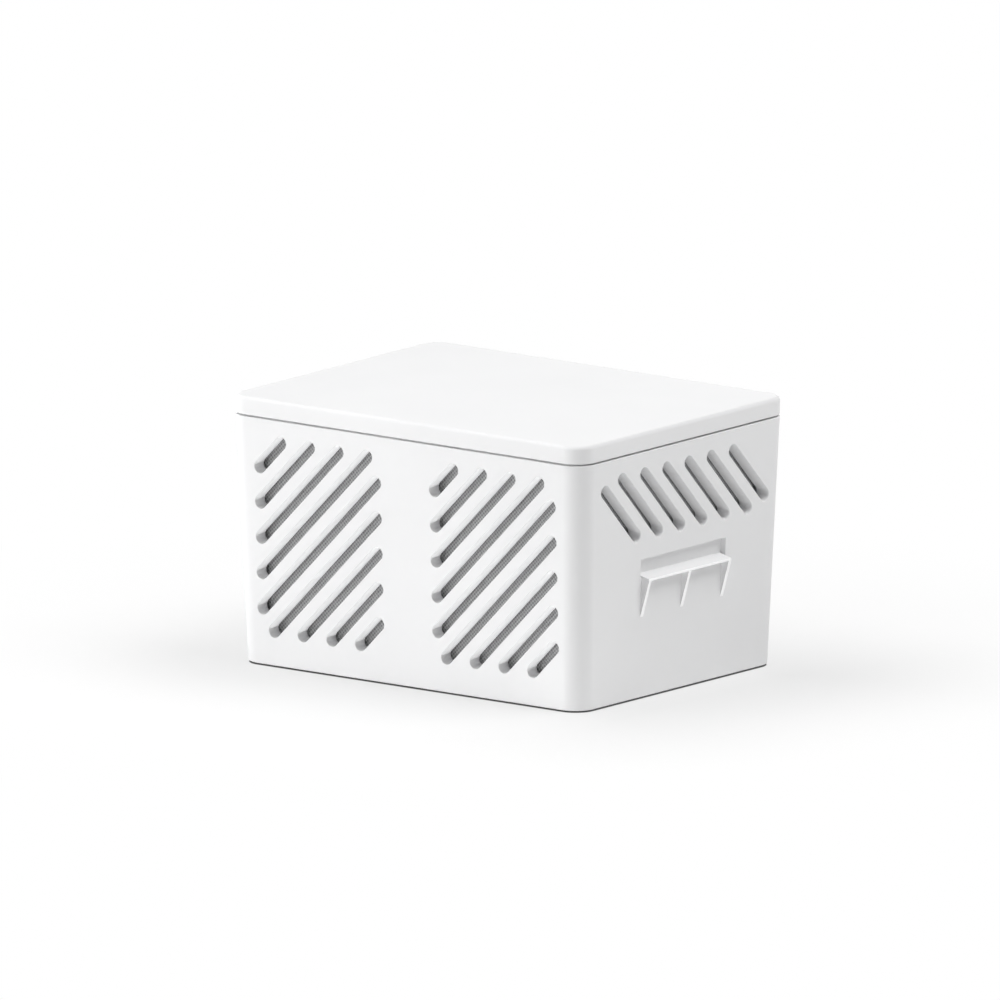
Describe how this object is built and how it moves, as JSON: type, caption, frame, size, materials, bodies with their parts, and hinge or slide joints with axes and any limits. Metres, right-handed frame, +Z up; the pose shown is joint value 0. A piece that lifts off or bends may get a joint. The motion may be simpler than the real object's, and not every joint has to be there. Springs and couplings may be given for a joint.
{
  "type": "robot vacuum deodorizing module",
  "caption": "White vented plastic box with a flush clip-fit lid, grey mesh behind its diagonal slots and a ribbed catch ledge on each short side; holds a deodorizing pack.",
  "frame": {"origin": "centre of the footprint, on the underside of the base", "axes": "+Z up out of the lid, -Y out of the front wall with its two slotted windows, +X out of the right short wall with its catch ledge"},
  "size_m": [0.0718, 0.0534, 0.0428],
  "materials": {
    "white_plastic": "fine satin moulded",
    "grey_mesh": "fine woven mesh",
    "pack_cloth": "non-woven pouch"
  },
  "bodies": {
    "root": {"housing": "white_plastic", "lid": "white_plastic", "screen": "grey_mesh", "carbon_pack": "pack_cloth"}
  },
  "joints": []
}
